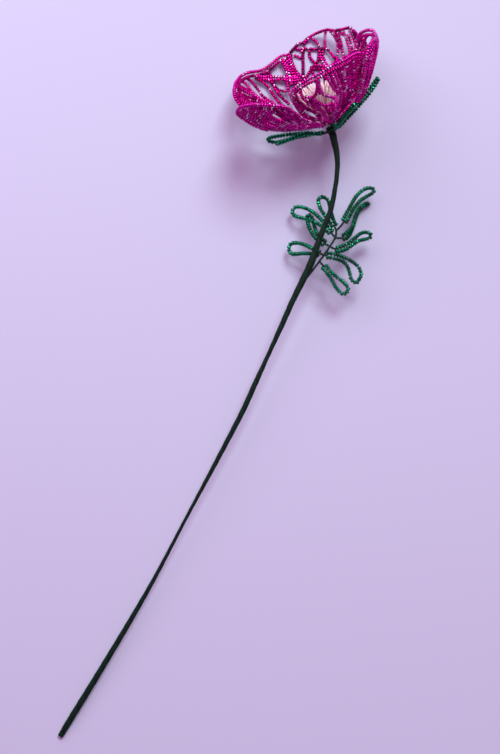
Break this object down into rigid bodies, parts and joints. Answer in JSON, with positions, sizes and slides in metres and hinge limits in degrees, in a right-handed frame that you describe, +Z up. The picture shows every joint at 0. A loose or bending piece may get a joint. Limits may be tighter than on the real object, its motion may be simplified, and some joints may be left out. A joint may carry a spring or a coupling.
{
  "type": "beaded wire poppy flower",
  "caption": "Poppy blossom of lace bead petals on a long bent wire stem, with looped bead leaf and calyx, lying on its side.",
  "frame": {"origin": "middle of the whole flower's box, at the height of the surface that it lies on", "axes": "+Z up from that surface; +Y from the stem's cut end towards the bloom; +X to the right of the stem, on the side of the longer leaf loops"},
  "size_m": [0.115, 0.431, 0.0759],
  "materials": {
    "magenta_beads": "magenta glass seed beads with a bright silver lining, glossy",
    "green_beads": "emerald green glass seed beads, glossy",
    "pale_fibre": "fine pale cream-pink thread ends, matt",
    "floral_tape": "dark green waxed crepe tape wound in a spiral, satin",
    "steel_wire": "drawn steel florist's wire"
  },
  "bodies": {
    "root": {"petal_1": "magenta_beads", "petal_2": "magenta_beads", "petal_3": "magenta_beads", "petal_4": "magenta_beads", "petal_5": "magenta_beads", "centre_tuft": "pale_fibre", "calyx": "green_beads", "leaf": "green_beads", "stem_tape": "floral_tape", "stem_wire": "steel_wire"}
  },
  "joints": []
}
